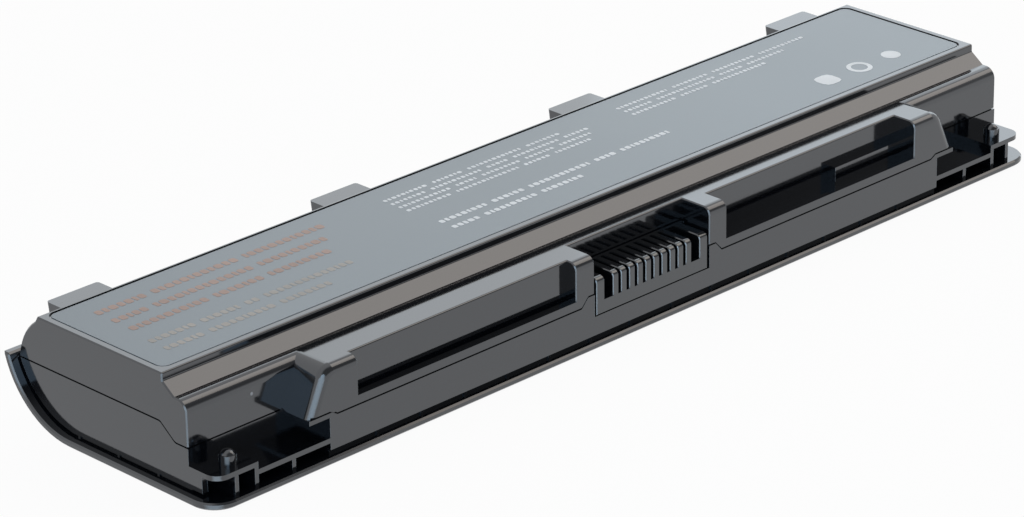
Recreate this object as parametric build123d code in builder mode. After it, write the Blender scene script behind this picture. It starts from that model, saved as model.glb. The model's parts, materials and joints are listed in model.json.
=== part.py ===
"""Laptop battery: a two-half moulded case with a latch nose and a comb connector, holding six round cells.

Frame: X runs along the battery, +Y points to the curved rear and +Z up through the label. The origin is the
middle of the underside of the whole box. Millimetres.
"""

import os
from math import asin, degrees, sqrt

from build123d import *

os.makedirs("parts", exist_ok=True)

# Cells and the rows that they form along X
cell_diameter = 18.3
cell_length = 65.0
cells_in_row = 3
row_gap = 0.1
crimp_depth = 0.5
crimp_width = 1.6
crimp_setback = 4.2
button_diameter = 8.4
button_height = 1.0

# What lies between the cells and the end walls
link_thickness = 0.3
end_strip_thickness = 0.2
paper_thickness = 0.2
paper_rim_margin = 0.6
paper_corner = 5.0
foam_thickness = 2.1
tape_thickness = 0.2
tape_width = 6.0

# Case walls
floor_thickness = 0.9
shell_wall = 0.95
end_wall = 1.2
front_wall = 1.1
top_clearance = 0.05
reveal_gap = 0.3
reveal_depth = 0.45

# Depth of the case, from the front lip to the rear lip
front_lip = 1.2
nose_depth = 6.75
front_clearance = 1.45
rear_space = 5.55
end_lip = 1.95
rear_lip = 1.76
lip_thickness = 1.25
lip_corner_radius = 5.0
lip_chamfer = 0.3
lip_tip_rise = 1.05
skin_start_back = 1.4
groove_depth = 0.5
end_groove_height = 0.5
front_groove_height = 0.75
nub_width = 0.5
nub_pitch = 10.1

# Section of the upper half
top_front_reach = 5.8
top_rear_reach = 7.55
top_edge_drop = 1.4
ledge_drop = 3.4
ledge_depth = 3.0
shoulder_radius = 2.1
rear_step_run = 0.7
rear_step_drop = 1.1
rear_bulge_radius = 11.2
edge_round = 0.35
end_chamfer = 0.25

# Line where the two halves meet
side_split_rise = 1.2
corner_split_drop = 2.75
nose_split_drop = 3.45
socket_split_drop = 1.75
split_bend_near = 3.15
split_bend_far = 6.75
split_bend_radius = 1.2
nose_step_run = 1.3
socket_step_run = 1.6

# Nose with its latch pockets
nose_end_setback = 20.3
nose_slant = 3.8
nose_end_radius = 3.0
nose_round = 1.6
pillar_width = 4.55
pocket_end_block = 7.3
left_pocket_depth = 2.15
right_pocket_depth = 5.05
pocket_floor_thickness = 1.3
pocket_lip_height = 0.5
pocket_lip_thickness = 1.1
pocket_rib_length = 18.3
pocket_rib_depth = 1.75
pocket_rib_height = 3.2
pocket_edge_round = 0.4
nose_wall = 1.0
mouth_chamfer = 0.2

# Connector
socket_clearance = 0.5
socket_bottom_z = 5.5
comb_top_drop = 4.5
comb_round = 1.0
comb_foot_chamfer = 0.25
comb_back_gap = 0.25
spine_thickness = 0.7
spine_rise = 0.4
contact_count = 9
fin_pitch = 2.05
slot_width = 0.65
slot_height = 4.4
key_slot_width = 2.1
outer_fin_width = 2.0
fin_chamfer = 0.15
contact_thickness = 0.15
contact_clearance = 0.03
contact_height = 3.2
contact_reach = 3.6
contact_back = 0.35

# Corner shelves of the lower half
lower_wall_inset = 4.5
return_wall = 0.5
roof_thickness = 0.8
shelf_high_z = 5.65
shelf_low_z = 4.2
shelf_thickness = 0.9
shelf_step_setback = 8.6
shelf_corner_radius = 2.5
web_thickness = 0.8
end_plate_reach = 3.15
dome_end_setback = 5.2
dome_front_setback = 3.1
dome_radius = 1.5
dome_neck = 1.8

# Locating tabs along the rear
tab_width = 11.2
tab_end_setback = 12.2
tab_thickness = 2.0
tab_reach = 0.32
tab_undercut = 0.3
tab_corner_radius = 0.6

# Label
label_thickness = 0.2
label_inset = 0.1
label_end_border = 1.7
label_front_border = 1.7
label_rear_border = 0.8
label_corner_radius = 1.5
label_clearance = 0.4

# Circuit board and what is on it
board_end_gap = 6.2
board_thickness = 1.0
board_top_z = 4.2
board_clearance = 0.2
board_depth = 9.3
board_corner = 1.0
board_rib_thickness = 1.2
board_rib_offset = 1.5
board_rib_inset = 4.0
centre_rib_thickness = 1.2
centre_rib_height = 3.0
chip_setback = 3.4
fuse_inset = 6.0
protector_inset = 14.0
gauge_inset = 25.0
sense_inset = 10.0
discharge_inset = 18.0
charge_inset = 26.0
gauge_leads_to_side = 14
protector_leads_to_side = 4
switch_leads_to_side = 4
chip_body_gap = 0.1
lead_width = 0.35
lead_length = 0.8
lead_thickness = 0.2
small_part_start = 6.0
small_part_pitch = 4.0
small_parts_to_side = 3
capacitor_offset = -1.2
resistor_offset = 1.6
strip_width = 8.0
strip_corner = 2.0
lane_offset = 0.7
link_tail_width = 2.5
link_tail_height = 4.0
link_foot_length = 3.0
lead_drop = 1.0
lead_height = 4.0
lead_foot_length = 4.0
bead_radius = 1.1
bead_length = 2.4
bead_setback = 10.4
bead_height = 2.0
leg_width = 0.4
leg_spread = 1.0

# Sizes and places that follow from the ones above
cell_radius = cell_diameter / 2
can_length = cell_length - button_height
row_pitch = cell_diameter + row_gap
row_length = cells_in_row * cell_length + (cells_in_row - 1) * link_thickness
end_stack = end_strip_thickness + paper_thickness + foam_thickness
half_inside = row_length / 2 + end_stack
half_body = half_inside + end_wall
half_skin = half_body + end_lip
cell_axis_z = floor_thickness + tape_thickness + cell_radius
case_height = cell_axis_z + cell_radius + top_clearance + shell_wall

case_depth = (front_lip + nose_depth + shell_wall + front_clearance + cell_diameter + row_pitch + rear_space)
lip_front_y = -case_depth / 2
lip_rear_y = case_depth / 2
front_wall_y = lip_front_y + front_lip
shoulder_y = front_wall_y + nose_depth
front_row_y = shoulder_y + shell_wall + front_clearance + cell_radius
rear_row_y = front_row_y + row_pitch
rows_mid_y = (front_row_y + rear_row_y) / 2
body_rear_y = lip_rear_y - rear_lip

top_front_y = front_row_y - top_front_reach
top_rear_y = rear_row_y + top_rear_reach
ledge_z = case_height - ledge_drop
ledge_back_y = shoulder_y + ledge_depth

side_split_z = cell_axis_z + side_split_rise
corner_split_z = side_split_z - corner_split_drop
nose_split_z = side_split_z - nose_split_drop
socket_split_z = side_split_z - socket_split_drop
pocket_floor_z = nose_split_z + pocket_floor_thickness

lip_tip_z = side_split_z + lip_tip_rise
skin_start_y = rear_row_y - skin_start_back
skin_radius = ((lip_rear_y - skin_start_y) ** 2 + lip_tip_z**2) / (2 * lip_tip_z)

comb_top_z = case_height - ledge_drop - comb_top_drop
comb_back_y = shoulder_y - comb_back_gap
slot_floor_z = comb_top_z - slot_height
board_front_y = front_wall_y + front_wall + board_clearance
board_rear_y = board_front_y + board_depth
board_bottom_z = board_top_z - board_thickness
lane_y = front_row_y - cell_radius - lane_offset
label_half = half_body - label_end_border
label_front_y = top_front_y + label_front_border
label_rear_y = top_rear_y - label_rear_border
spine_front_y = comb_back_y - spine_thickness
contact_back_y = spine_front_y - contact_clearance
contact_half = slot_width / 2 - contact_clearance
contact_xs = [(number - (contact_count - 1) / 2) * fin_pitch for number in range(contact_count)]
key_slot_inner = contact_xs[-1] + fin_pitch - slot_width / 2
comb_half = key_slot_inner + key_slot_width + outer_fin_width
socket_half = comb_half + socket_clearance
cell_starts = [-row_length / 2 + number * (cell_length + link_thickness) for number in range(cells_in_row)]

nose_half_bottom = half_body - nose_end_setback
nose_half_top = nose_half_bottom - nose_slant
pocket_inner_x = socket_half + pillar_width
pocket_outer_x = nose_half_top - pocket_end_block
pocket_rib_start_x = pocket_outer_x - pocket_rib_length
lower_wall_half = nose_half_bottom - lower_wall_inset
board_room_half = lower_wall_half - return_wall
nose_step_out = board_room_half
nose_step_in = nose_step_out - nose_step_run
shelf_step_x = half_body - shelf_step_setback
mid_web_x = (lower_wall_half + shelf_step_x) / 2
outer_web_x = (shelf_step_x + half_body) / 2
dome_x = half_body - dome_end_setback
dome_y = front_wall_y + dome_front_setback
outer_tab_x = half_body - tab_end_setback
inner_tab_x = outer_tab_x / 3
board_half = board_room_half - board_end_gap
board_rib_xs = (socket_half + board_rib_offset, (socket_half + board_half) / 2, board_half - board_rib_inset)


def block(x_span, y_span, z_span, mode=Mode.ADD):
    """A box given by its low and high limit along each axis."""
    centre = tuple((low + high) / 2 for low, high in (x_span, y_span, z_span))
    with Locations(centre):
        Box(*(high - low for low, high in (x_span, y_span, z_span)), mode=mode)


def both_ends(low, high):
    """The span from low to high along +X, and its mirror image along -X."""
    return ((low, high), (-high, -low))


def save(piece, name):
    """Label a finished piece and write its STEP file."""
    piece.part.label = name
    export_step(piece.part, f"parts/{name}.step")


def rolled_skin(radius, top_z):
    """Arc of the rolled rear skin, from the flat underside up to a height."""
    sweep = degrees(asin((top_z - skin_radius) / radius)) + 90
    return CenterArc((skin_start_y, skin_radius), radius, -90, sweep)


def side_split_line(front_y, rear_y, lift=0.0):
    """The line on the end walls where the halves meet, low at the front and high along the side."""
    return FilletPolyline(
        (front_y, corner_split_z + lift),
        (shoulder_y + split_bend_near, corner_split_z + lift),
        (shoulder_y + split_bend_far, side_split_z + lift),
        (rear_y, side_split_z + lift),
        radius=split_bend_radius,
    )


def nose_split_points(lift=0.0):
    """Points of the front joint line from the left end of the nose to the connector mouth."""
    return [
        (-nose_step_out, corner_split_z + lift),
        (-nose_step_in, nose_split_z + lift),
        (-socket_half - 2 * socket_step_run, nose_split_z + lift),
        (-socket_half - socket_step_run, socket_split_z + lift),
    ]


def mirrored(points):
    """Points followed by their mirror images in X, as one outline from left to right."""
    return points + [(-x, z) for x, z in reversed(points)]


def cut_pocket(x_span, floor_points):
    """Cut a pocket open to the front and top, with a round rear brink, given its floor from front to back."""
    back_y = floor_points[-1][0]
    with BuildSketch(Plane.YZ.offset(x_span[0])) as pocket_section:
        with BuildLine() as pocket_outline:
            brink_centre = (back_y + pocket_edge_round, ledge_z - pocket_edge_round)
            brink = CenterArc(brink_centre, pocket_edge_round, 180, -90)
            Polyline(
                brink @ 1,
                (back_y + pocket_edge_round, case_height),
                (front_wall_y, case_height),
                *floor_points,
                brink @ 0,
            )
        make_face()
    extrude(pocket_section.sketch, amount=x_span[1] - x_span[0], mode=Mode.SUBTRACT)


def joining_plate(width, corner):
    """Outline of a plate across the ends of both rows of cells, with cut corners."""
    with BuildSketch() as plate:
        with Locations((rows_mid_y, cell_axis_z)):
            Rectangle(row_pitch + width, width)
        chamfer(plate.vertices(), corner)
    return plate.sketch


def upper_crown(inset, front_z, rear_z):
    """Upper outline from the foot of the shoulder over the top to the foot of the rear, open below."""
    front_y = shoulder_y + inset
    rear_y = body_rear_y - inset
    radius = shoulder_radius - inset
    crown_z = ledge_z - inset
    slope_run = top_front_y - ledge_back_y
    slope_rise = case_height - top_edge_drop - ledge_z
    slope_length = sqrt(slope_run**2 + slope_rise**2)
    slope_foot_in = inset * (slope_length - slope_run) / slope_rise
    slope_top_down = inset * (slope_length - slope_rise) / slope_run
    Line((front_y, front_z), (front_y, crown_z - radius))
    CenterArc((front_y + radius, crown_z - radius), radius, 180, -90)
    Polyline(
        (front_y + radius, crown_z),
        (ledge_back_y + slope_foot_in, crown_z),
        (top_front_y + inset, case_height - top_edge_drop - slope_top_down),
        (top_front_y + inset, case_height - inset),
        (top_rear_y - inset, case_height - inset),
        (top_rear_y + rear_step_run - inset, case_height - rear_step_drop - inset),
    )
    bulge_foot_z = side_split_z + reveal_gap
    RadiusArc(
        (top_rear_y + rear_step_run - inset, case_height - rear_step_drop - inset),
        (rear_y, bulge_foot_z),
        rear_bulge_radius - inset,
    )
    if rear_z < bulge_foot_z:
        Line((rear_y, bulge_foot_z), (rear_y, rear_z))


# Lower half of the case
with BuildPart() as lower_shell:
    # Outer skin: flat below, rolled up at the rear, overhanging the walls as a lip
    with BuildSketch(Plane.YZ) as skin_section:
        with BuildLine() as skin_outline:
            Line((lip_front_y, 0), (skin_start_y, 0))
            outer_roll = rolled_skin(skin_radius, lip_tip_z)
            inner_roll = rolled_skin(skin_radius - lip_thickness, lip_tip_z)
            Line(outer_roll @ 1, inner_roll @ 1)
            Polyline(inner_roll @ 0, (lip_front_y, lip_thickness), (lip_front_y, 0))
        make_face()
    extrude(amount=half_skin, both=True)
    fillet(lower_shell.edges().filter_by(Axis.Z).group_by(Axis.Y)[0], lip_corner_radius)
    skin_edges = lower_shell.edges()
    smooth_edges = skin_edges.filter_by(Axis.Z) + skin_edges.filter_by(Axis.X).sort_by(Axis.Y)[2:4]
    chamfer(skin_edges - smooth_edges - skin_edges.sort_by(Axis.Y)[-1:], lip_chamfer)

    # Walls of the tub, standing on a foot that is set back to leave a groove above the lip
    end_foot_z = lip_thickness + end_groove_height
    for half_width, foot_z, foot_rise in (
        (half_body, end_foot_z, end_groove_height),
        (half_body - groove_depth, lip_thickness / 2, -lip_thickness / 2),
    ):
        with BuildSketch(Plane.YZ) as wall_section:
            with BuildLine() as wall_outline:
                wall_roll = rolled_skin(skin_radius - lip_thickness - foot_rise, side_split_z)
                side_split_line(shoulder_y, (wall_roll @ 1).X)
                Polyline(wall_roll @ 0, (shoulder_y, foot_z), (shoulder_y, corner_split_z))
            make_face()
        extrude(amount=half_width, both=True)

    # Front wall below the nose, stepped up beside the connector and cut down under it
    front_foot_z = lip_thickness + front_groove_height
    for face_y, foot_z in ((front_wall_y, front_foot_z), (front_wall_y + groove_depth, lip_thickness / 2)):
        with BuildSketch(Plane.XZ.offset(-face_y)) as front_section:
            with BuildLine() as front_outline:
                Polyline(
                    *mirrored(
                        [
                            (-lower_wall_half, foot_z),
                            (-lower_wall_half, corner_split_z),
                            *nose_split_points(),
                            (-socket_half, socket_split_z),
                            (-socket_half, socket_bottom_z),
                        ]
                    ),
                    close=True,
                )
            make_face()
        extrude(amount=face_y - shoulder_y - shell_wall)

    # Corner shelves on webs, with a strip under each end of the nose and a dome on the high step
    for side in (-1, 1):
        shelf_y = (front_wall_y, shoulder_y + shell_wall)
        x_spans = {
            "roof": (board_room_half, nose_half_bottom),
            "low": (lower_wall_half - groove_depth, shelf_step_x + web_thickness / 2),
            "high": (shelf_step_x - web_thickness / 2, half_body),
            "plate": (half_body - end_wall, half_body),
        }
        if side < 0:
            x_spans = {name: (-high, -low) for name, (low, high) in x_spans.items()}
        block(x_spans["roof"], shelf_y, (corner_split_z - roof_thickness, corner_split_z))
        block(x_spans["low"], shelf_y, (shelf_low_z - shelf_thickness, shelf_low_z))
        with BuildSketch(Plane.XY.offset(shelf_high_z - shelf_thickness)) as high_shelf:
            with Locations((sum(x_spans["high"]) / 2, sum(shelf_y) / 2)):
                Rectangle(x_spans["high"][1] - x_spans["high"][0], shelf_y[1] - shelf_y[0])
            outer_corner = high_shelf.vertices().sort_by_distance((side * half_body, front_wall_y))[0]
            fillet(outer_corner, shelf_corner_radius)
        extrude(amount=shelf_thickness)
        block(
            x_spans["plate"],
            (shoulder_y - end_plate_reach, shoulder_y + shell_wall),
            (end_foot_z, shelf_high_z - shelf_thickness),
        )
        for web_x, web_top in (
            (mid_web_x, shelf_low_z),
            (shelf_step_x, shelf_high_z),
            (outer_web_x, shelf_high_z),
        ):
            web_span = (side * web_x - web_thickness / 2, side * web_x + web_thickness / 2)
            block(web_span, shelf_y, (lip_thickness / 2, web_top - shelf_thickness / 2))
        with Locations((side * dome_x, dome_y, shelf_high_z)):
            Cylinder(dome_radius, dome_neck, align=(Align.CENTER, Align.CENTER, Align.MIN))
        with Locations((side * dome_x, dome_y, shelf_high_z + dome_neck)):
            Sphere(dome_radius, arc_size1=0)

    # Room for the cells, and for the board behind the front wall
    with BuildSketch(Plane.YZ) as cell_room:
        with BuildLine() as cell_room_outline:
            room_rear_y = body_rear_y - shell_wall
            room_radius = skin_radius - floor_thickness
            roll_top_z = skin_radius - sqrt(room_radius**2 - (room_rear_y - skin_start_y) ** 2)
            room_roll = rolled_skin(room_radius, roll_top_z)
            Polyline(
                room_roll @ 1,
                (room_rear_y, case_height),
                (shoulder_y + shell_wall, case_height),
                (shoulder_y + shell_wall, floor_thickness),
                room_roll @ 0,
            )
        make_face()
    extrude(amount=half_inside, both=True, mode=Mode.SUBTRACT)
    block(
        (-board_room_half, board_room_half),
        (front_wall_y + front_wall, front_row_y - cell_radius),
        (floor_thickness, case_height),
        mode=Mode.SUBTRACT,
    )

    # Small nubs across the groove, along the front and both ends
    for step in range(int(lower_wall_half / nub_pitch)):
        for low, high in both_ends((step + 0.5) * nub_pitch, (step + 0.5) * nub_pitch + nub_width):
            nub_y = (front_wall_y + groove_depth / 2, front_wall_y + front_wall - groove_depth / 2)
            block((low, high), nub_y, (lip_thickness, front_foot_z))
    for step in range(int((skin_start_y - shoulder_y) / nub_pitch) + 1):
        nub_y = skin_start_y - step * nub_pitch
        for nub_x in both_ends(half_body - groove_depth, half_body - groove_depth / 2):
            block(nub_x, (nub_y - nub_width, nub_y), (lip_thickness, end_foot_z))

    # Ribs on the floor: one between the rows of cells, and pairs that carry the board
    block(
        (-row_length / 2, row_length / 2),
        (rows_mid_y - centre_rib_thickness / 2, rows_mid_y + centre_rib_thickness / 2),
        (floor_thickness, floor_thickness + centre_rib_height),
    )
    for rib_x in board_rib_xs:
        for rib_span in both_ends(rib_x, rib_x + board_rib_thickness):
            block(rib_span, (board_front_y, board_rear_y), (floor_thickness, board_bottom_z))
save(lower_shell, "lower_shell")

# Nose on the front of the upper half: a block with slanted ends, two latch pockets and the connector mouth
with BuildPart() as nose:
    with BuildSketch(Plane.XZ.offset(-front_wall_y)) as nose_section:
        with BuildLine() as nose_outline:
            Polyline(
                *mirrored([(-nose_half_bottom, corner_split_z), *nose_split_points()]),
                (nose_half_top, ledge_z),
                (-nose_half_top, ledge_z),
                close=True,
            )
        make_face()
        fillet(nose_section.vertices().group_by(Axis.Y)[-1], nose_end_radius)
    extrude(amount=-nose_depth - shoulder_radius - shell_wall / 2)
    front_edges = nose.faces().sort_by(Axis.Y)[0].edges()
    fillet([edge for edge in front_edges if edge.center().Z > socket_split_z + reveal_gap], nose_round)

    # Fine reveal above the joint line along the front
    with BuildSketch(Plane.XZ.offset(-front_wall_y)) as reveal_section:
        with BuildLine() as reveal_outline:
            Polyline(
                *mirrored(
                    [
                        (-half_body, 0.0),
                        (-half_body, corner_split_z + reveal_gap),
                        *nose_split_points(reveal_gap),
                    ]
                ),
                close=True,
            )
        make_face()
    extrude(amount=-reveal_depth, mode=Mode.SUBTRACT)

    # Latch pockets behind a low lip, a rib in the right one, and the mouth for the connector
    lip_back_y = front_wall_y + pocket_lip_thickness
    lip_top_z = pocket_floor_z + pocket_lip_height
    for x_span, back_y in (
        ((-pocket_outer_x, -pocket_inner_x), front_wall_y + left_pocket_depth),
        ((pocket_inner_x, pocket_outer_x), front_wall_y + right_pocket_depth),
    ):
        lip_points = [(front_wall_y, lip_top_z), (lip_back_y, lip_top_z), (lip_back_y, pocket_floor_z)]
        cut_pocket(x_span, [*lip_points, (back_y, pocket_floor_z)])
    rib_back_y = front_wall_y + right_pocket_depth
    block(
        (pocket_rib_start_x, pocket_outer_x),
        (rib_back_y - pocket_rib_depth, rib_back_y),
        (pocket_floor_z, pocket_floor_z + pocket_rib_height),
    )
    cut_pocket((-socket_half, socket_half), [(front_wall_y, socket_bottom_z), (shoulder_y, socket_bottom_z)])
    mouth_edges = nose.edges().filter_by(Axis.Z).group_by(Axis.Y)[0]
    chamfer(mouth_edges, mouth_chamfer)

# Upper half of the case
with BuildPart() as upper_shell:
    # Outer layer, which stops short of the joint as a fine reveal, and inner layer, which meets the tub
    with BuildSketch(Plane.YZ) as outer_section:
        with BuildLine() as outer_outline:
            upper_crown(0.0, corner_split_z + reveal_gap, side_split_z + reveal_gap)
            side_split_line(shoulder_y, body_rear_y, reveal_gap)
        make_face()
    extrude(amount=half_body, both=True)
    long_edges = [
        upper_shell.edges().filter_by(Axis.X).sort_by_distance((0, edge_y, edge_z))[0]
        for edge_y, edge_z in (
            (top_front_y, case_height),
            (top_front_y, case_height - top_edge_drop),
            (top_rear_y, case_height),
        )
    ]
    fillet(long_edges, edge_round)
    end_edges = [
        edge
        for edge in upper_shell.edges().group_by(Axis.X)[0] + upper_shell.edges().group_by(Axis.X)[-1]
        if edge.bounding_box().max.Z > side_split_z + reveal_gap + edge_round
    ]
    chamfer(end_edges, end_chamfer)
    with BuildSketch(Plane.YZ) as inner_section:
        with BuildLine() as inner_outline:
            upper_crown(reveal_depth, corner_split_z, side_split_z)
            side_split_line(shoulder_y + reveal_depth, body_rear_y - reveal_depth)
        make_face()
    extrude(amount=half_body - reveal_depth, both=True)
    add(nose.part)

    # Tabs that hook into the laptop, level with the step behind the top
    tab_top_z = case_height - rear_step_drop
    tab_rear_y = body_rear_y + tab_reach
    for tab_x in (-outer_tab_x, -inner_tab_x, inner_tab_x, outer_tab_x):
        with BuildSketch(Plane.YZ.offset(tab_x)) as tab_section:
            with BuildLine() as tab_outline:
                Polyline(
                    (rear_row_y, tab_top_z),
                    (tab_rear_y, tab_top_z),
                    (tab_rear_y - tab_undercut, tab_top_z - tab_thickness),
                    (rear_row_y, tab_top_z - tab_thickness),
                    close=True,
                )
            make_face()
        extrude(amount=tab_width / 2, both=True)
        tab_mid_z = tab_top_z - tab_thickness / 2
        tab_edges = [
            upper_shell.edges().sort_by_distance((tab_x + side * tab_width / 2, tab_rear_y, tab_mid_z))[0]
            for side in (-1, 1)
        ]
        fillet(tab_edges, tab_corner_radius)

    # Shallow place for the label
    with BuildSketch(Plane.XY.offset(case_height)) as label_place:
        with Locations((0, (label_front_y + label_rear_y) / 2)):
            RectangleRounded(
                2 * (label_half + label_clearance),
                label_rear_y - label_front_y + 2 * label_clearance,
                label_corner_radius + label_clearance,
            )
    extrude(amount=-label_thickness - label_inset, mode=Mode.SUBTRACT)

    # Room for the cells
    with BuildSketch(Plane.YZ) as upper_room:
        with BuildLine() as upper_room_outline:
            upper_crown(shell_wall, 0.0, 0.0)
            Line((shoulder_y + shell_wall, 0.0), (body_rear_y - shell_wall, 0.0))
        make_face()
    extrude(amount=half_inside, both=True, mode=Mode.SUBTRACT)

    # Hollows of the nose: behind the pockets, in the end blocks and the pillars, and under the pocket floors
    hollow_top_z = ledge_z - nose_round
    hollow_front_y = front_wall_y + front_wall
    hollow_rear_y = shoulder_y + shell_wall
    for x_spans, front_y, top_z in (
        (((-pocket_outer_x, -pocket_inner_x),), front_wall_y + left_pocket_depth + nose_wall, hollow_top_z),
        (((pocket_inner_x, pocket_outer_x),), front_wall_y + right_pocket_depth + nose_wall, hollow_top_z),
        (both_ends(pocket_outer_x + nose_wall, board_room_half), hollow_front_y, hollow_top_z),
        (both_ends(socket_half + nose_wall, pocket_inner_x - nose_wall), hollow_front_y, hollow_top_z),
        (
            both_ends(socket_half + 2 * socket_step_run, board_room_half),
            hollow_front_y,
            pocket_floor_z - nose_wall,
        ),
    ):
        for x_span in x_spans:
            block(x_span, (front_y, hollow_rear_y), (socket_bottom_z, top_z), mode=Mode.SUBTRACT)

    # Rib between the rows of cells
    ceiling_z = case_height - shell_wall
    block(
        (-row_length / 2, row_length / 2),
        (rows_mid_y - centre_rib_thickness / 2, rows_mid_y + centre_rib_thickness / 2),
        (ceiling_z - centre_rib_height, ceiling_z),
    )
save(upper_shell, "upper_shell")

# Label sheet in its place on the top
with BuildPart() as label:
    with BuildSketch(Plane.XY.offset(case_height - label_thickness - label_inset)) as label_outline:
        with Locations((0, (label_front_y + label_rear_y) / 2)):
            RectangleRounded(2 * label_half, label_rear_y - label_front_y, label_corner_radius)
    extrude(amount=label_thickness)
save(label, "label")

# Connector: a comb of fins in the mouth of the nose, on a base that stands on the board
with BuildPart() as connector_housing:
    with BuildSketch(Plane.YZ) as comb_section:
        with BuildLine() as comb_outline:
            CenterArc((front_wall_y + comb_round, comb_top_z - comb_round), comb_round, 90, 90)
            Polyline(
                (front_wall_y + comb_round, comb_top_z),
                (comb_back_y, comb_top_z),
                (comb_back_y, socket_bottom_z),
                (front_wall_y + comb_foot_chamfer, socket_bottom_z),
                (front_wall_y, socket_bottom_z + comb_foot_chamfer),
                (front_wall_y, comb_top_z - comb_round),
            )
        make_face()
    extrude(amount=comb_half, both=True)
    block(
        (-comb_half, comb_half),
        (spine_front_y, comb_back_y),
        (slot_floor_z, comb_top_z + spine_rise),
    )
    block((-comb_half, comb_half), (board_front_y, comb_back_y), (board_top_z, slot_floor_z))
    slot_y = (front_wall_y - 1, spine_front_y)
    slot_z = (slot_floor_z, comb_top_z + 1)
    for contact_x in contact_xs:
        slot_x = (contact_x - slot_width / 2, contact_x + slot_width / 2)
        block(slot_x, slot_y, slot_z, mode=Mode.SUBTRACT)
        tail_y = (spine_front_y - contact_back - 2 * contact_clearance, spine_front_y)
        block(slot_x, tail_y, (board_top_z, slot_floor_z), mode=Mode.SUBTRACT)
    for slot_x in both_ends(key_slot_inner, key_slot_inner + key_slot_width):
        block(slot_x, slot_y, slot_z, mode=Mode.SUBTRACT)
    chamfer(connector_housing.edges().filter_by(Axis.Z).group_by(Axis.Y)[0], fin_chamfer)
save(connector_housing, "connector_housing")

# Contacts: spring leaves in the slots, each folded to a narrow U with a tail down to the board
leaf_y = (contact_back_y - contact_reach, contact_back_y)
fold_y = (contact_back_y - contact_back, contact_back_y)
leaf_top_z = slot_floor_z + contact_height
for number, contact_x in enumerate(contact_xs, start=1):
    with BuildPart() as contact:
        for leaf_low, leaf_high in both_ends(contact_half - contact_thickness, contact_half):
            block((contact_x + leaf_low, contact_x + leaf_high), leaf_y, (slot_floor_z, leaf_top_z))
        block((contact_x - contact_half, contact_x + contact_half), fold_y, (board_top_z, leaf_top_z))
    save(contact, f"contact_{number}")

# Cells, each with a crimp near the raised button
for row_name, row_y in (("front", front_row_y), ("rear", rear_row_y)):
    for number, start_x in enumerate(cell_starts, start=1):
        can_end = start_x + can_length
        crimp_x = can_end - crimp_setback
        with BuildPart() as cell:
            with BuildSketch(Plane((0, row_y, cell_axis_z), (1, 0, 0), (0, -1, 0))) as cell_section:
                with BuildLine() as cell_outline:
                    Polyline(
                        (start_x, 0),
                        (start_x, cell_radius),
                        (crimp_x, cell_radius),
                        (crimp_x + crimp_width / 2, cell_radius - crimp_depth),
                        (crimp_x + crimp_width, cell_radius),
                        (can_end, cell_radius),
                        (can_end, button_diameter / 2),
                        (start_x + cell_length, button_diameter / 2),
                        (start_x + cell_length, 0),
                        close=True,
                    )
                make_face()
            revolve(axis=Axis((start_x, row_y, cell_axis_z), (1, 0, 0)))
        save(cell, f"{row_name}_cell_{number}")

# Welded strips that join the two rows: a link after the first and second cells, tailed down to the board
for name, start_x in (("first_link", cell_starts[0]), ("second_link", cell_starts[1])):
    with BuildPart() as link:
        with BuildSketch(Plane.YZ.offset(start_x + cell_length)) as link_section:
            add(joining_plate(strip_width, strip_corner))
            tail_y = (lane_y - link_tail_width / 4, front_row_y)
            with Locations((sum(tail_y) / 2, cell_axis_z)):
                Rectangle(tail_y[1] - tail_y[0], link_tail_height)
            drop_z = (board_top_z, cell_axis_z)
            with Locations((tail_y[0] + link_tail_width / 2, sum(drop_z) / 2)):
                Rectangle(link_tail_width, drop_z[1] - drop_z[0])
        extrude(amount=link_thickness)
        block(
            (start_x + cell_length, start_x + cell_length + link_foot_length),
            (tail_y[0], tail_y[0] + link_tail_width),
            (board_top_z, board_top_z + link_thickness),
        )
    save(link, name)

# End strips, each with a lead along the front of its cells to the board
lead_z = (cell_axis_z - lead_drop - lead_height, cell_axis_z - lead_drop)
lead_y = (lane_y - end_strip_thickness / 2, lane_y + end_strip_thickness / 2)
for name, side in (("negative_strip", -1), ("positive_strip", 1)):
    strip_x = sorted((side * row_length / 2, side * (row_length / 2 + end_strip_thickness)))
    with BuildPart() as end_strip:
        with BuildSketch(Plane.YZ.offset(strip_x[0])) as strip_section:
            add(joining_plate(strip_width, strip_corner))
        extrude(amount=end_strip_thickness)
        block(strip_x, (lead_y[0], front_row_y), lead_z)
        lead_end = side * (board_half - board_corner)
        block(sorted((lead_end, side * (row_length / 2 + end_strip_thickness))), lead_y, lead_z)
        foot_x = sorted((lead_end, lead_end - side * lead_foot_length))
        block(foot_x, lead_y, (board_top_z, lead_z[1]))
    save(end_strip, name)

# Insulating paper and a foam pad between each end of the rows and the end wall
for name, side in (("left", -1), ("right", 1)):
    paper_x = row_length / 2 + end_strip_thickness
    paper_span = sorted((side * paper_x, side * (paper_x + paper_thickness)))
    foam_span = sorted((side * (paper_x + paper_thickness), side * half_inside))
    with BuildPart() as paper:
        with BuildSketch(Plane.YZ.offset(paper_span[0])) as paper_section:
            add(joining_plate(2 * (cell_radius - paper_rim_margin), paper_corner))
        extrude(amount=paper_thickness)
    save(paper, f"{name}_end_paper")
    with BuildPart() as foam:
        foam_y = (front_row_y - strip_width / 2, rear_row_y + strip_width / 2)
        block(foam_span, foam_y, (cell_axis_z - strip_width / 2, cell_axis_z + strip_width / 2))
    save(foam, f"{name}_foam")

# Tape under each row of cells
for name, tape_y in (
    ("front_tape", (front_row_y - tape_width / 2, front_row_y + tape_width / 2)),
    ("rear_tape", (skin_start_y - tape_width, skin_start_y)),
):
    with BuildPart() as tape:
        block(
            (-row_length / 2, row_length / 2), tape_y, (floor_thickness, floor_thickness + tape_thickness)
        )
    save(tape, name)

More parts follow.
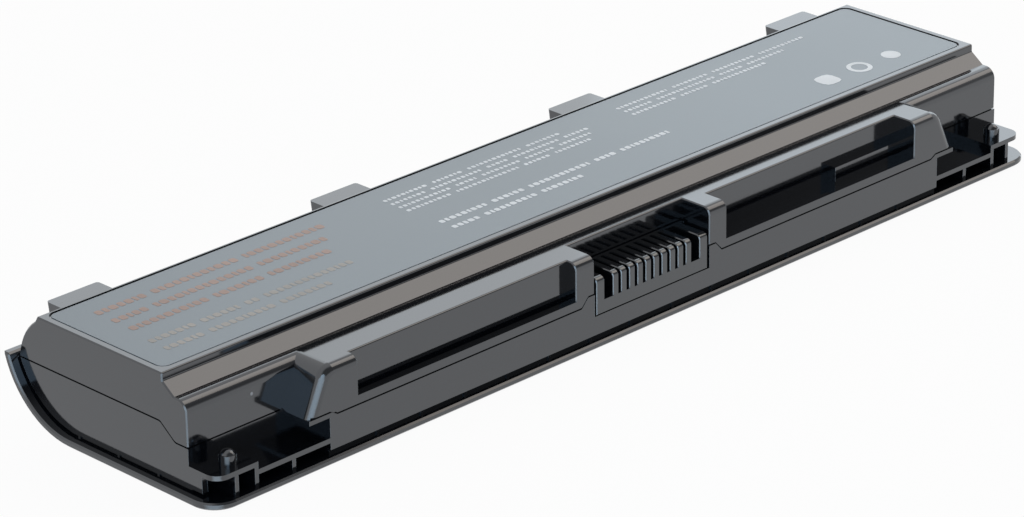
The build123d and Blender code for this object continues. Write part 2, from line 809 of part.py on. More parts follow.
# Circuit board with cut corners, on the floor ribs behind the front wall
with BuildPart() as protection_board:
    with BuildSketch(Plane.XY.offset(board_bottom_z)) as board_outline:
        with Locations((0, (board_front_y + board_rear_y) / 2)):
            Rectangle(2 * board_half, board_depth)
        chamfer(board_outline.vertices(), board_corner)
    extrude(amount=board_thickness)
save(protection_board, "protection_board")

# Packages with leads along both long sides: name, middle, body size and leads to a side
chip_y = board_front_y + chip_setback
for name, chip_x, body_size, leads_to_side in (
    ("gauge_chip", gauge_inset - board_half, (9.7, 4.4, 1.0), gauge_leads_to_side),
    ("protector_chip", protector_inset - board_half, (3.0, 4.4, 1.0), protector_leads_to_side),
    ("charge_switch", board_half - charge_inset, (4.9, 3.9, 1.4), switch_leads_to_side),
    ("discharge_switch", board_half - discharge_inset, (4.9, 3.9, 1.4), switch_leads_to_side),
):
    length, depth, height = body_size
    with BuildPart() as chip:
        block(
            (chip_x - length / 2, chip_x + length / 2),
            (chip_y - depth / 2, chip_y + depth / 2),
            (board_top_z + chip_body_gap, board_top_z + chip_body_gap + height),
        )
        pitch = length / (leads_to_side + 0.5)
        for number in range(leads_to_side):
            lead_x = chip_x + (number - (leads_to_side - 1) / 2) * pitch
            block(
                (lead_x - lead_width / 2, lead_x + lead_width / 2),
                (chip_y - depth / 2 - lead_length, chip_y + depth / 2 + lead_length),
                (board_top_z, board_top_z + lead_thickness),
            )
    save(chip, name)

# Plain two-ended parts, and the two groups of small ones beside the connector
small_part_xs = [
    side * (comb_half + small_part_start + number * small_part_pitch)
    for side in (-1, 1)
    for number in range(small_parts_to_side)
]
for name, size, centres in (
    ("sense_resistor", (6.3, 3.2, 0.7), [(board_half - sense_inset, chip_y)]),
    ("board_fuse", (4.0, 3.0, 1.2), [(fuse_inset - board_half, chip_y)]),
    ("capacitors", (2.0, 1.2, 0.9), [(x, chip_y + capacitor_offset) for x in small_part_xs]),
    ("resistors", (1.6, 0.8, 0.5), [(x, chip_y + resistor_offset) for x in small_part_xs]),
):
    with BuildPart() as component:
        with Locations(*[(x, y, board_top_z + size[2] / 2) for x, y in centres]):
            Box(*size)
    save(component, name)

# Thermistor: a bead against a front cell on two legs from the board
with BuildPart() as thermistor:
    bead_x = cell_starts[-1] - bead_setback
    bead_y = lane_y + bead_radius / 4
    with Locations((bead_x, bead_y, board_top_z + bead_height)):
        Cylinder(bead_radius, bead_length, rotation=(0, 90, 0))
    for leg_x in (bead_x - leg_spread / 2, bead_x + leg_spread / 2):
        with Locations((leg_x, bead_y, board_top_z + bead_height / 2)):
            Box(leg_width, leg_width, bead_height)
save(thermistor, "thermistor")
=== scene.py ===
"""Looks for a clip-in laptop battery: glossy black case, satin label, comb connector and the cells inside.

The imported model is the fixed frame. This script gives every piece of it a finish, lays plain tiles and shapes
on the label as print, and sets the studio and the camera at the photograph's viewing angle. Metres, +Z up.
"""

import json
import logging
import math
from dataclasses import dataclass
from enum import Enum
from itertools import cycle

import bmesh
import bpy
from mathutils import Matrix, Vector

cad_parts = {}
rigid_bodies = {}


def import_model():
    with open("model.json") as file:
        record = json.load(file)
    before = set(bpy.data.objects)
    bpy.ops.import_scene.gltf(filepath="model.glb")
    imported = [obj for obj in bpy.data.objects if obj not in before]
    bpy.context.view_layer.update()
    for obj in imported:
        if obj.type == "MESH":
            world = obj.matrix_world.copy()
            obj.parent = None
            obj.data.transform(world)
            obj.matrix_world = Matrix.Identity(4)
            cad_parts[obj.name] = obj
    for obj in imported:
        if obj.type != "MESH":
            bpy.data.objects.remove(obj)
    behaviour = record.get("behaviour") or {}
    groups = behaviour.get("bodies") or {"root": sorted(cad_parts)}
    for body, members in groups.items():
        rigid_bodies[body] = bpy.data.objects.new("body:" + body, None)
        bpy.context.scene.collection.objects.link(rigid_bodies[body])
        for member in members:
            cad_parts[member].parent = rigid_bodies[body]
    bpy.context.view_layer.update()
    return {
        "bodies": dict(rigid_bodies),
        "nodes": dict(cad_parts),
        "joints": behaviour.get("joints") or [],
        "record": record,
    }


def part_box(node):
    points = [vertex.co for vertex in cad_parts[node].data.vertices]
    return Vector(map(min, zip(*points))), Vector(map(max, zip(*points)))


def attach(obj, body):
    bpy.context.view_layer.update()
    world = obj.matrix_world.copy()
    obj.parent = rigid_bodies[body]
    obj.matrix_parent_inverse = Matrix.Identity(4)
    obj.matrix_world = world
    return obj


LOG = logging.getLogger("laptop_battery")
MM = 0.001
UP = (0.0, 0.0, 1.0)

# Places of the colour sockets on a mix node, which has sockets of the same names for other data.
MIX_AMOUNT, MIX_FIRST, MIX_SECOND, MIX_RESULT = 0, 6, 7, 2

Colour = tuple[float, float, float]
Direction = tuple[float, float, float]
Span = tuple[float, float]
Socket = bpy.types.NodeSocket


class Slot(Enum):
    """Material slots of the record."""

    CASE = "case_plastic"
    LABEL = "label_film"
    CONNECTOR = "connector_plastic"
    CONTACT = "contact_metal"
    SLEEVE = "cell_sleeve"
    PAPER = "insulating_paper"
    STRIP = "strip_metal"
    FOAM = "foam"
    TAPE = "tape"
    BOARD = "board_laminate"
    CHIP = "chip_body"
    CERAMIC = "ceramic"
    BEAD = "bead"


class Ink(Enum):
    """Inks of the print on the label."""

    WARM = "warm_ink"
    PALE = "pale_ink"
    WHITE = "white_ink"


class Shape(Enum):
    """Plain shapes in the print."""

    DISC = "disc"
    RING = "ring"
    TILE = "tile"


def stand(name: str, data: bpy.types.ID) -> bpy.types.Object:
    """Add an object with this data to the scene."""
    made = bpy.data.objects.new(name, data)
    bpy.context.scene.collection.objects.link(made)
    return made


class NodeSheet:
    """A node tree with short calls for adding and joining nodes."""

    def __init__(self, tree: bpy.types.NodeTree) -> None:
        """Keep the tree that nodes are added to."""
        self.tree = tree

    def add(self, kind: str, **settings: object) -> bpy.types.Node:
        """Add a node.

        Args:
            kind: The node's type name, such as ShaderNodeMath.
            **settings: Properties to set on the node.

        Returns:
            The new node.
        """
        node = self.tree.nodes.new(kind)
        for name, value in settings.items():
            setattr(node, name, value)
        return node

    def place(self, group: bpy.types.NodeTree, **values: float) -> Socket:
        """Add a node group with values of its own.

        Args:
            group: The group, which has one output.
            **values: Its inputs by name.

        Returns:
            The group's output.
        """
        node = self.add("ShaderNodeGroup", node_tree=group)
        for name, value in values.items():
            node.inputs[name].default_value = value
        return node.outputs[0]

    def join(self, source: Socket, target: Socket) -> None:
        """Link an output to an input."""
        self.tree.links.new(source, target)

    def feed(self, value: object, target: Socket) -> None:
        """Give an input its value.

        Args:
            value: A socket to join, a colour of three numbers, or one number.
            target: The input.
        """
        if isinstance(value, Socket):
            self.join(value, target)
        elif isinstance(value, tuple):
            target.default_value = (*value, 1.0)
        else:
            target.default_value = value

    def math(self, operation: str, *values: object, clamp: bool = False) -> Socket:
        """Work out a number.

        Args:
            operation: The math node's operation.
            *values: Its inputs, each a socket to join or a number.
            clamp: Whether the result is kept between 0 and 1.

        Returns:
            The node's result.
        """
        node = self.add("ShaderNodeMath", operation=operation, use_clamp=clamp)
        for socket, value in zip(node.inputs, values):
            self.feed(value, socket)
        return node.outputs[0]

    def dot(self, vector: Socket, direction: Direction) -> Socket:
        """Dot product of a vector with a fixed direction."""
        node = self.add("ShaderNodeVectorMath", operation="DOT_PRODUCT")
        self.join(vector, node.inputs[0])
        node.inputs[1].default_value = direction
        return node.outputs["Value"]

    def mix(self, amount: Socket, first: object, second: object) -> Socket:
        """Mix two colours.

        Args:
            amount: Share of the second colour.
            first: The first colour, a socket or three numbers.
            second: The second colour, a socket or three numbers.

        Returns:
            The mixed colour.
        """
        node = self.add("ShaderNodeMix", data_type="RGBA")
        self.join(amount, node.inputs[MIX_AMOUNT])
        self.feed(first, node.inputs[MIX_FIRST])
        self.feed(second, node.inputs[MIX_SECOND])
        return node.outputs[MIX_RESULT]

    def spread(
        self,
        value: Socket,
        low: float,
        high: float,
        start: float = 0.0,
        end: float = 1.0,
        rise: str = "LINEAR",
    ) -> Socket:
        """Map a value from one range to another, and keep it there.

        Args:
            value: The value to map.
            low: Result at the start.
            high: Result at the end.
            start: Value that gives the low result.
            end: Value that gives the high result.
            rise: The map range node's kind of interpolation.

        Returns:
            The mapped value.
        """
        node = self.add("ShaderNodeMapRange", interpolation_type=rise)
        self.join(value, node.inputs["Value"])
        node.inputs["From Min"].default_value = start
        node.inputs["From Max"].default_value = end
        node.inputs["To Min"].default_value = low
        node.inputs["To Max"].default_value = high
        return node.outputs["Result"]

    def ease(self, value: Socket, start: float, end: float) -> Socket:
        """Rise smoothly from 0 to 1 as a value goes from start to end."""
        return self.spread(value, 0.0, 1.0, start, end, rise="SMOOTHSTEP")


@dataclass
class Effects:
    """Shader node groups that more than one finish uses, each built once."""

    smear_detail: float = 4.0
    smear_middle: float = 0.5
    # Way that edges with a painted highlight face, taken either way along each axis.
    highlight_facing: Direction = (0.69, 0.69, 0.2)
    corner_samples: int = 8
    hollow_reach: float = 0.6 * MM
    hollow_samples: int = 6
    hollow_range: Span = (0.8, 0.97)

    def __post_init__(self) -> None:
        """Build the groups."""
        self.grain = self._grain()
        self.specks = self._specks()
        self.smears = self._smears()
        # The edges group paints highlights on outer edges and corners.
        self.edges = self._painted_edge_highlights()

    @staticmethod
    def _group(
        name: str, inputs: dict[str, float], output: str
    ) -> tuple[NodeSheet, dict[str, Socket], Socket]:
        """Start a group with number inputs and one number output.

        Args:
            name: The group's name.
            inputs: Input names and their defaults.
            output: The output's name.

        Returns:
            The group's sheet, its input sockets by name, and the socket to feed.
        """
        tree = bpy.data.node_groups.new(name, "ShaderNodeTree")
        for label, value in inputs.items():
            socket = tree.interface.new_socket(label, in_out="INPUT", socket_type="NodeSocketFloat")
            socket.default_value = value
        tree.interface.new_socket(output, in_out="OUTPUT", socket_type="NodeSocketFloat")
        sheet = NodeSheet(tree)
        source = sheet.add("NodeGroupInput")
        target = sheet.add("NodeGroupOutput")
        return sheet, {label: source.outputs[label] for label in inputs}, target.inputs[output]

    @staticmethod
    def _pattern(sheet: NodeSheet, kind: str, scale: Socket) -> bpy.types.Node:
        """Add a texture of this kind and scale on the piece's own coordinates."""
        node = sheet.add(kind)
        sheet.join(sheet.add("ShaderNodeTexCoord").outputs["Object"], node.inputs["Vector"])
        sheet.join(scale, node.inputs["Scale"])
        return node

    def _grain(self) -> bpy.types.NodeTree:
        """Fine moulded texture as a height."""
        sheet, given, out = self._group("moulded_grain", {"Scale": 900.0, "Detail": 2.0}, "Height")
        noise = self._pattern(sheet, "ShaderNodeTexNoise", given["Scale"])
        sheet.join(given["Detail"], noise.inputs["Detail"])
        sheet.join(noise.outputs[0], out)
        return sheet.tree

    def _specks(self) -> bpy.types.NodeTree:
        """Sparse specks of dust as a mask."""
        dust = {"Scale": 160.0, "Size": 0.05, "Share": 0.2}
        sheet, given, out = self._group("dust_specks", dust, "Mask")
        cells = self._pattern(sheet, "ShaderNodeTexVoronoi", given["Scale"])
        chance = sheet.add("ShaderNodeTexWhiteNoise")
        sheet.join(cells.outputs["Position"], chance.inputs["Vector"])
        chosen = sheet.math("LESS_THAN", chance.outputs["Value"], given["Share"])
        near = sheet.math("LESS_THAN", cells.outputs["Distance"], given["Size"])
        sheet.join(sheet.math("MULTIPLY", chosen, near), out)
        return sheet.tree

    def _smears(self) -> bpy.types.NodeTree:
        """Broad uneven patches, as handling leaves, from 0 to 1."""
        sheet, given, out = self._group("handling_smears", {"Scale": 25.0, "Contrast": 1.6}, "Mask")
        noise = self._pattern(sheet, "ShaderNodeTexNoise", given["Scale"])
        noise.inputs["Detail"].default_value = self.smear_detail
        centred = sheet.math("SUBTRACT", noise.outputs[0], self.smear_middle)
        patches = sheet.math("MULTIPLY_ADD", centred, given["Contrast"], self.smear_middle, clamp=True)
        sheet.join(patches, out)
        return sheet.tree

    def _painted_edge_highlights(self) -> bpy.types.NodeTree:
        """Painted highlight mask: outer edges and corners whose rounded normal faces the front left, or its
        mirror, get a lighter colour in place of glints. Hollows are left out.
        """
        highlight_inputs = {"Radius": 0.2 * MM, "Start": 0.92, "Full": 0.97}
        sheet, given, out = self._group("painted_edge_highlight", highlight_inputs, "Mask")
        rounded = sheet.add("ShaderNodeBevel", samples=self.corner_samples)
        sheet.join(given["Radius"], rounded.inputs["Radius"])
        either_way = sheet.add("ShaderNodeVectorMath", operation="ABSOLUTE")
        sheet.join(rounded.outputs["Normal"], either_way.inputs[0])
        corner = sheet.dot(either_way.outputs[0], self.highlight_facing)
        past = sheet.math("SUBTRACT", corner, given["Start"])
        span = sheet.math("SUBTRACT", given["Full"], given["Start"])
        upright = sheet.math("DIVIDE", past, span, clamp=True)
        hollow = sheet.add("ShaderNodeAmbientOcclusion", samples=self.hollow_samples, only_local=True)
        hollow.inputs["Distance"].default_value = self.hollow_reach
        outer = sheet.spread(hollow.outputs["AO"], 0.0, 1.0, *self.hollow_range)
        sheet.join(sheet.math("MULTIPLY", upright, outer), out)
        return sheet.tree


@dataclass(frozen=True)
class Finish:
    """A surface finish: colour with slight variation, smeared gloss, painted edge highlights, dust and a fine
    grain.
    """

    name: str
    colour: Colour
    variation: Colour
    roughness: Span
    metallic: float = 0.0
    ior: float = 1.5
    gloss_tint: Colour = (1.0, 1.0, 1.0)
    grain_scale: float = 900.0
    grain_depth: float = 0.02
    grain_height: float = 0.1 * MM
    smear_scale: float = 25.0
    speck_share: float = 0.0
    speck_colour: Colour = (0.5, 0.5, 0.5)
    speck_roughness: float = 0.8
    # Painted edge highlight: bevel radius, the lighter colour painted on edges that face the front left, and
    # the roughness there.
    highlight_radius: float = 0.0
    highlight_colour: Colour = (0.5, 0.5, 0.5)
    highlight_roughness: float = 0.5

    def material(self, effects: Effects) -> bpy.types.Material:
        """Build the finish.

        Args:
            effects: The shared node groups.

        Returns:
            The new material.
        """
        made = bpy.data.materials.new(self.name)
        made.use_nodes = True
        sheet = NodeSheet(made.node_tree)
        shader = made.node_tree.nodes["Principled BSDF"]
        shader.inputs["Metallic"].default_value = self.metallic
        shader.inputs["IOR"].default_value = self.ior
        shader.inputs["Specular Tint"].default_value = (*self.gloss_tint, 1.0)

        smears = sheet.place(effects.smears, Scale=self.smear_scale)
        colour = sheet.mix(smears, self.colour, self.variation)
        rough = sheet.spread(smears, *self.roughness)
        if self.speck_share > 0:
            specks = sheet.place(effects.specks, Share=self.speck_share)
            colour = sheet.mix(specks, colour, self.speck_colour)
            rough = sheet.math("MAXIMUM", rough, sheet.spread(specks, 0.0, self.speck_roughness))
        # Paint a lighter colour on outer edges that face the front left as a painted highlight, and make them
        # rougher.
        if self.highlight_radius > 0:
            edges = sheet.place(effects.edges, Radius=self.highlight_radius)
            colour = sheet.mix(edges, colour, self.highlight_colour)
            rough = sheet.math("MAXIMUM", rough, sheet.spread(edges, 0.0, self.highlight_roughness))
        sheet.join(colour, shader.inputs["Base Color"])
        sheet.join(rough, shader.inputs["Roughness"])

        bump = sheet.add("ShaderNodeBump")
        bump.inputs["Strength"].default_value = self.grain_depth
        bump.inputs["Distance"].default_value = self.grain_height
        sheet.join(sheet.place(effects.grain, Scale=self.grain_scale), bump.inputs["Height"])
        sheet.join(bump.outputs["Normal"], shader.inputs["Normal"])
        return made


FINISHES: dict[Slot, Finish] = {
    Slot.CASE: Finish(
        name="polished_black_case",
        colour=(0.0022, 0.0027, 0.004),
        variation=(0.0036, 0.0043, 0.006),
        roughness=(0.05, 0.11),
        ior=1.86,
        gloss_tint=(0.92, 0.95, 1.0),
        grain_scale=260.0,
        grain_depth=0.02,
        speck_share=0.1,
        speck_colour=(0.35, 0.35, 0.36),
        # Painted highlight on the case's outer edges and corners.
        highlight_radius=0.22 * MM,
        highlight_colour=(0.18, 0.21, 0.235),
    ),
    Slot.LABEL: Finish(
        name="satin_grey_film",
        colour=(0.133, 0.163, 0.186),
        variation=(0.149, 0.18, 0.206),
        roughness=(0.28, 0.34),
        ior=1.55,
        gloss_tint=(0.92, 0.97, 1.0),
        grain_scale=1500.0,
        grain_depth=0.05,
    ),
    Slot.CONNECTOR: Finish(
        name="black_comb_plastic",
        colour=(0.0024, 0.003, 0.0042),
        variation=(0.004, 0.0047, 0.006),
        roughness=(0.07, 0.13),
        ior=1.88,
        gloss_tint=(0.92, 0.96, 1.0),
        grain_scale=500.0,
        grain_depth=0.03,
        # Painted highlight on the comb's fin edges.
        highlight_radius=0.2 * MM,
        highlight_colour=(0.36, 0.42, 0.47),
    ),
    Slot.CONTACT: Finish(
        name="gold_plated_spring",
        colour=(0.8, 0.6, 0.26),
        variation=(0.72, 0.52, 0.22),
        roughness=(0.2, 0.32),
        metallic=1.0,
    ),
    Slot.SLEEVE: Finish(
        name="teal_shrunk_sleeve",
        colour=(0.03, 0.26, 0.32),
        variation=(0.035, 0.3, 0.36),
        roughness=(0.3, 0.42),
    ),
    Slot.PAPER: Finish(
        name="insulating_paper",
        colour=(0.6, 0.56, 0.46),
        variation=(0.54, 0.5, 0.41),
        roughness=(0.75, 0.9),
        grain_depth=0.3,
    ),
    Slot.STRIP: Finish(
        name="rolled_nickel_strip",
        colour=(0.62, 0.6, 0.56),
        variation=(0.55, 0.54, 0.51),
        roughness=(0.26, 0.4),
        metallic=1.0,
    ),
    Slot.FOAM: Finish(
        name="closed_cell_foam",
        colour=(0.05, 0.05, 0.05),
        variation=(0.07, 0.07, 0.07),
        roughness=(0.85, 0.95),
        grain_depth=0.6,
    ),
    Slot.TAPE: Finish(
        name="double_sided_tape",
        colour=(0.72, 0.72, 0.69),
        variation=(0.66, 0.66, 0.63),
        roughness=(0.5, 0.65),
        grain_depth=0.1,
    ),
    Slot.BOARD: Finish(
        name="green_board_laminate",
        colour=(0.02, 0.14, 0.06),
        variation=(0.025, 0.17, 0.07),
        roughness=(0.3, 0.45),
    ),
    Slot.CHIP: Finish(
        name="moulded_package",
        colour=(0.02, 0.02, 0.02),
        variation=(0.03, 0.03, 0.03),
        roughness=(0.45, 0.6),
        grain_depth=0.15,
    ),
    Slot.CERAMIC: Finish(
        name="fired_ceramic",
        colour=(0.5, 0.4, 0.29),
        variation=(0.44, 0.35, 0.25),
        roughness=(0.4, 0.55),
    ),
    Slot.BEAD: Finish(
        name="dipped_bead",
        colour=(0.04, 0.03, 0.025),
        variation=(0.05, 0.04, 0.03),
        roughness=(0.12, 0.2),
    ),
}

INKS: dict[Ink, Finish] = {
    Ink.WARM: Finish(
        name="warm_print",
        colour=(0.36, 0.22, 0.17),
        variation=(0.29, 0.19, 0.155),
        roughness=(0.4, 0.5),
        smear_scale=90.0,
    ),
    Ink.PALE: Finish(
        name="pale_print",
        colour=(0.33, 0.3, 0.27),
        variation=(0.27, 0.25, 0.23),
        roughness=(0.4, 0.5),
        smear_scale=90.0,
    ),
    Ink.WHITE: Finish(
        name="white_print",
        colour=(0.78, 0.81, 0.84),
        variation=(0.64, 0.67, 0.7),
        roughness=(0.4, 0.5),
        smear_scale=90.0,
    ),
}


@dataclass(frozen=True)
class TileBlock:
    """Lines of small plain tiles in groups. Lengths in mm, from the label's left and rear edges."""

    ink: Ink
    left: float
    drop: float
    tile: Span
    pitch: float
    groups: tuple[tuple[int, ...], ...]


@dataclass(frozen=True)
class Mark:
    """One plain shape, by its middle and width in mm, from the label's right and front edges."""

    shape: Shape
    inset: float
    rise: float
    width: float


BLOCKS = (
    TileBlock(
        ink=Ink.WARM,
        left=6.0,
        drop=4.4,
        tile=(1.3, 1.7),
        pitch=4.4,
        groups=((7, 12, 12), (5, 14, 10), (11, 7, 9)),
    ),
    TileBlock(
        ink=Ink.PALE,
        left=5.0,
        drop=19.4,
        tile=(1.15, 1.5),
        pitch=3.9,
        groups=((7, 6, 2, 14), (6, 10, 8)),
    ),
    TileBlock(
        ink=Ink.WHITE,
        left=71.5,
        drop=4.8,
        tile=(0.75, 0.85),
        pitch=2.0,
        groups=((10, 7, 13, 8), (8, 12, 5, 11, 6), (12, 5, 9, 7, 8), (10, 15, 6, 9)),
    ),
    TileBlock(
        ink=Ink.WHITE,
        left=131.0,
        drop=4.2,
        tile=(0.75, 0.85),
        pitch=2.0,
        groups=((13, 9, 11, 12), (7, 15, 6, 10), (11, 7, 14)),
    ),
    TileBlock(
        ink=Ink.WHITE,
        left=72.0,
        drop=18.4,
        tile=(1.0, 1.2),
        pitch=3.2,
        groups=((9, 6, 12, 4, 10), (5, 10, 8)),
    ),
)
MARKS = (
    Mark(Shape.TILE, inset=31.0, rise=6.2, width=4.4),
    Mark(Shape.RING, inset=22.0, rise=6.2, width=5.0),
    Mark(Shape.DISC, inset=13.0, rise=6.2, width=3.8),
)


@dataclass
class LabelPrint:
    """Print on the label: lines of plain tiles and three plain shapes, as one thin piece for each ink."""

    low: Vector
    high: Vector
    thickness: float = 0.025 * MM
    corner_share: float = 0.3
    corner_steps: int = 2
    tile_gap: float = 0.35 * MM
    group_gap: float = 1.3 * MM
    tile_shares: tuple[float, ...] = (1.0, 0.75, 1.2, 0.9, 1.1, 0.6, 1.0)
    ring_share: float = 0.18
    round_steps: int = 40

    def build(self, effects: Effects) -> None:
        """Make the pieces.

        Args:
            effects: The shared node groups.
        """
        for ink in Ink:
            form = bmesh.new()
            for block in BLOCKS:
                if block.ink is ink:
                    self._tiles(form, block)
            if ink is Ink.WHITE:
                for mark in MARKS:
                    self._mark(form, mark)
            self._piece(form, ink, effects)

    def _piece(self, form: bmesh.types.BMesh, ink: Ink, effects: Effects) -> None:
        """Turn a form into a piece that rides with the case and has an ink's finish.

        Args:
            form: The form, which is freed.
            ink: The ink.
            effects: The shared node groups.
        """
        mesh = bpy.data.meshes.new(f"label_{ink.value}")
        form.to_mesh(mesh)
        form.free()
        mesh.materials.append(INKS[ink].material(effects))
        piece = stand(mesh.name, mesh)
        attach(piece, "root")
        LOG.info("printed %s with %d faces", piece.name, len(mesh.polygons))

    def _slab(self, form: bmesh.types.BMesh, middle: Span, size: Span) -> None:
        """Add a thin rectangle with rounded corners.

        Args:
            form: The form to add to.
            middle: Its middle in X and Y.
            size: Its length along X and depth along Y.
        """
        made = bmesh.ops.create_cube(form, size=1.0)["verts"]
        bmesh.ops.scale(form, vec=(*size, self.thickness), verts=made)
        bmesh.ops.translate(form, vec=(*middle, self.high.z + self.thickness / 2), verts=made)
        edges = dict.fromkeys(edge for vert in made for edge in vert.link_edges)
        upright = [edge for edge in edges if edge.verts[0].co.z != edge.verts[1].co.z]
        bmesh.ops.bevel(
            form,
            geom=upright,
            offset=self.corner_share * min(size),
            segments=self.corner_steps,
            profile=0.5,
            affect="EDGES",
            material=-1,
        )

    def _tiles(self, form: bmesh.types.BMesh, block: TileBlock) -> None:
        """Add a block's lines of tiles, with widths that follow a fixed pattern.

        Args:
            form: The form to add to.
            block: The block.
        """
        width, height = (length * MM for length in block.tile)
        shares = cycle(self.tile_shares)
        for number, groups in enumerate(block.groups):
            across = self.low.x + block.left * MM
            depth = self.high.y - (block.drop + number * block.pitch) * MM - height / 2
            for count in groups:
                for _ in range(count):
                    length = width * next(shares)
                    self._slab(form, (across + length / 2, depth), (length, height))
                    across += length + self.tile_gap
                across += self.group_gap

    def _mark(self, form: bmesh.types.BMesh, mark: Mark) -> None:
        """Add one plain shape.

        Args:
            form: The form to add to.
            mark: The shape.
        """
        middle = (self.high.x - mark.inset * MM, self.low.y + mark.rise * MM)
        width = mark.width * MM
        if mark.shape is Shape.TILE:
            self._slab(form, middle, (width, width))
            return
        rim = bmesh.ops.create_circle(
            form,
            cap_ends=True,
            segments=self.round_steps,
            radius=width / 2,
            matrix=Matrix.Translation((*middle, self.high.z)),
        )["verts"]
        face = rim[0].link_faces[0]
        base = [face]
        if mark.shape is Shape.RING:
            base = bmesh.ops.inset_region(
                form,
                faces=[face],
                thickness=width * self.ring_share,
                use_boundary=True,
                use_even_offset=True,
            )["faces"]
            bmesh.ops.delete(form, geom=[face], context="FACES")
        made = bmesh.ops.extrude_face_region(form, geom=base, use_keep_orig=True)["geom"]
        raised = [item for item in made if isinstance(item, bmesh.types.BMVert)]
        bmesh.ops.translate(form, vec=(0.0, 0.0, self.thickness), verts=raised)
        faces = dict.fromkeys(near for vert in raised for near in vert.link_faces)
        bmesh.ops.recalc_face_normals(form, faces=[*faces, *base])


@dataclass(frozen=True)
class Panel:
    """A soft light, by its direction from the object, distance, width, power and colour."""

    name: str
    towards: Direction
    distance: float
    span: float
    power: float
    colour: Colour

    def build(self) -> None:
        """Make the light and turn it to the object."""
        lamp = bpy.data.lights.new(self.name, "AREA")
        lamp.shape = "SQUARE"
        lamp.size = self.span
        lamp.energy = self.power
        lamp.color = self.colour
        holder = stand(self.name, lamp)
        towards = Vector(self.towards).normalized()
        holder.location = towards * self.distance
        holder.rotation_euler = towards.to_track_quat("Z", "Y").to_euler()
        LOG.info("lit by %s", self.name)


@dataclass
class Studio:
    """White floor, soft panels, and a white surround that is darker on the camera's side."""

    floor_span: float = 6.0
    floor_drop: float = 0.2 * MM
    floor_paint: Colour = (0.8, 0.8, 0.8)
    floor_glow: float = 0.95
    floor_falloff: float = 0.16
    falloff_way: Direction = (-1.0, 0.0, 0.0)
    falloff_reach: Span = (0.05, 0.3)
    surround: float = 0.75
    room_side: Direction = (0.0, -0.91, 0.42)
    room_spread: Span = (0.45, 0.8)
    room_rise: Span = (0.08, 0.36)
    room_shade: float = 0.75
    panels: tuple[Panel, ...] = (
        Panel("back_panel", (0.82, 0.5, 0.3), 1.3, 1.2, 4.0, (0.85, 0.94, 1.0)),
        Panel("side_panel", (0.9, 0.4, 0.18), 1.3, 0.9, 1.3, (0.73, 0.88, 1.0)),
        Panel("front_panel", (0.64, -0.22, 0.73), 1.1, 0.6, 1.6, (1.0, 0.87, 0.74)),
        Panel("camera_panel", (-0.66, -0.66, 0.36), 0.95, 0.45, 2.2, (0.55, 0.78, 1.0)),
    )

    def build(self) -> None:
        """Make the floor, the surround and the panels."""
        self._floor()
        self._surround()
        for panel in self.panels:
            panel.build()

    @staticmethod
    def _seen(sheet: NodeSheet) -> Socket:
        """1 for rays that the camera, gloss or glass sends out, and 0 for others."""
        path = sheet.add("ShaderNodeLightPath")
        pair = sheet.math("MAXIMUM", path.outputs["Is Camera Ray"], path.outputs["Is Glossy Ray"])
        return sheet.math("MAXIMUM", pair, path.outputs["Is Transmission Ray"])

    @staticmethod
    def _unfilmed(sheet: NodeSheet) -> Socket:
        """0 for rays that the camera sends out, and 1 for others."""
        path = sheet.add("ShaderNodeLightPath")
        return sheet.math("SUBTRACT", 1.0, path.outputs["Is Camera Ray"])

    def _floor(self) -> None:
        """A pale floor that the camera sees as white, and that gloss sees fall off to the far left."""
        mesh = bpy.data.meshes.new("studio_floor")
        shape = bmesh.new()
        bmesh.ops.create_grid(shape, x_segments=1, y_segments=1, size=self.floor_span / 2)
        bmesh.ops.translate(shape, verts=shape.verts, vec=(0.0, 0.0, -self.floor_drop))
        shape.to_mesh(mesh)
        shape.free()
        floor = stand("studio_floor", mesh)
        made = bpy.data.materials.new("white_floor")
        made.use_nodes = True
        sheet = NodeSheet(made.node_tree)
        sheet.tree.nodes.clear()
        paint = sheet.add("ShaderNodeBsdfDiffuse")
        paint.inputs["Color"].default_value = (*self.floor_paint, 1.0)
        glow = sheet.add("ShaderNodeEmission")
        place = sheet.add("ShaderNodeTexCoord").outputs["Object"]
        away = sheet.ease(sheet.dot(place, self.falloff_way), *self.falloff_reach)
        loss = sheet.math("MULTIPLY", sheet.math("MULTIPLY", away, self._unfilmed(sheet)), self.floor_falloff)
        sheet.join(sheet.math("SUBTRACT", 1.0, loss), glow.inputs["Strength"])
        blend = sheet.add("ShaderNodeMixShader")
        sheet.join(sheet.math("MULTIPLY", self._seen(sheet), self.floor_glow), blend.inputs[0])
        sheet.join(paint.outputs[0], blend.inputs[1])
        sheet.join(glow.outputs[0], blend.inputs[2])
        out = sheet.add("ShaderNodeOutputMaterial")
        sheet.join(blend.outputs[0], out.inputs["Surface"])
        mesh.materials.append(made)

    def _surround(self) -> None:
        """A surround that lights evenly, is white to the camera, and shows the darker side in gloss."""
        world = bpy.data.worlds.new("white_surround")
        world.use_nodes = True
        sheet = NodeSheet(world.node_tree)
        background = world.node_tree.nodes["Background"]
        background.inputs["Color"].default_value = (1.0, 1.0, 1.0, 1.0)
        way = sheet.add("ShaderNodeTexCoord").outputs["Generated"]
        beside = sheet.ease(sheet.dot(way, self.room_side), *self.room_spread)
        above = sheet.ease(sheet.dot(way, UP), *self.room_rise)
        shade = sheet.math("MULTIPLY", sheet.math("MULTIPLY", beside, above), self.room_shade)
        tone = sheet.math("SUBTRACT", 1.0, sheet.math("MULTIPLY", shade, self._unfilmed(sheet)))
        lit = sheet.math("SUBTRACT", 1.0, self._seen(sheet))
        dimmed = sheet.math("MULTIPLY", lit, 1.0 - self.surround)
        sheet.join(sheet.math("SUBTRACT", tone, dimmed), background.inputs["Strength"])
        bpy.context.scene.world = world


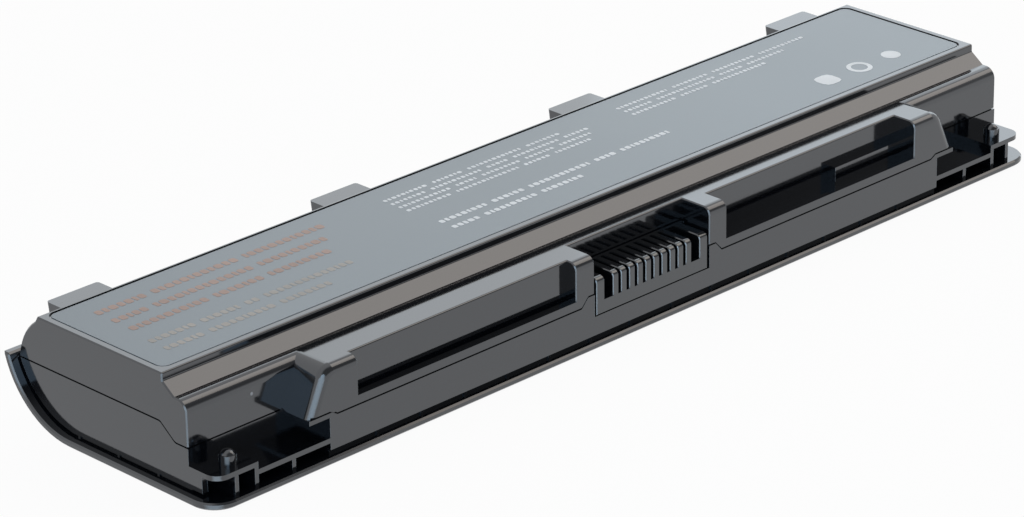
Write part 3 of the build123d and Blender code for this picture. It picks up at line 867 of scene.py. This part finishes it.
@dataclass
class PhotoCamera:
    """The photograph's camera, as fitted to the object's edges."""

    azimuth: float = -44.355
    elevation: float = 23.736
    roll: float = -0.880
    shift_right: float = -5.909 * MM
    shift_up: float = 3.509 * MM
    distance: float = 788.47 * MM
    frame_offset: float = 1.7 * MM
    focal_pixels: float = 4386.2
    image_width: int = 1024
    sensor: float = 36.0
    nearest: float = 10.0 * MM

    def build(self) -> None:
        """Make the camera and set it as the scene's own."""
        across = math.radians(self.azimuth)
        rise = math.radians(self.elevation)
        turn = math.radians(self.roll)
        ground = math.cos(rise)
        back = Vector((math.sin(across) * ground, -math.cos(across) * ground, math.sin(rise)))
        level = Vector(UP).cross(back).normalized()
        upright = back.cross(level)
        right = math.cos(turn) * level + math.sin(turn) * upright
        above = math.cos(turn) * upright - math.sin(turn) * level
        place = right * self.shift_right + above * self.shift_up + back * self.distance
        place.y += self.frame_offset
        lens = bpy.data.cameras.new("photo_camera")
        lens.sensor_fit = "HORIZONTAL"
        lens.sensor_width = self.sensor
        lens.lens = self.focal_pixels * self.sensor / self.image_width
        lens.clip_start = self.nearest
        holder = stand("photo_camera", lens)
        turned = Matrix((right, above, back)).transposed().to_4x4()
        holder.matrix_world = Matrix.Translation(place) @ turned
        bpy.context.scene.camera = holder


@dataclass
class BatteryPack:
    """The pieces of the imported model, dressed slot by slot, with the print on the label."""

    frame: dict

    def dress(self, effects: Effects) -> None:
        """Give every node the finish of its slot, and print the label.

        Args:
            effects: The shared node groups.
        """
        looks = {slot: finish.material(effects) for slot, finish in FINISHES.items()}
        for entry in self.frame["record"]["subparts"]:
            node = self.frame["nodes"][entry["node"]]
            node.data.materials.clear()
            node.data.materials.append(looks[Slot(entry["material_slot"])])
            LOG.info("dressed %s as %s", node.name, entry["material_slot"])
        low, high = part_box("label")
        LabelPrint(Vector(low), Vector(high)).build(effects)


def main() -> None:
    """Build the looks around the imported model."""
    logging.basicConfig(level=logging.INFO, format="%(name)s: %(message)s")
    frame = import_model()
    bpy.context.scene.view_settings.view_transform = "Standard"
    effects = Effects()
    BatteryPack(frame).dress(effects)
    Studio().build()
    PhotoCamera().build()


if __name__ == "__main__":
    main()
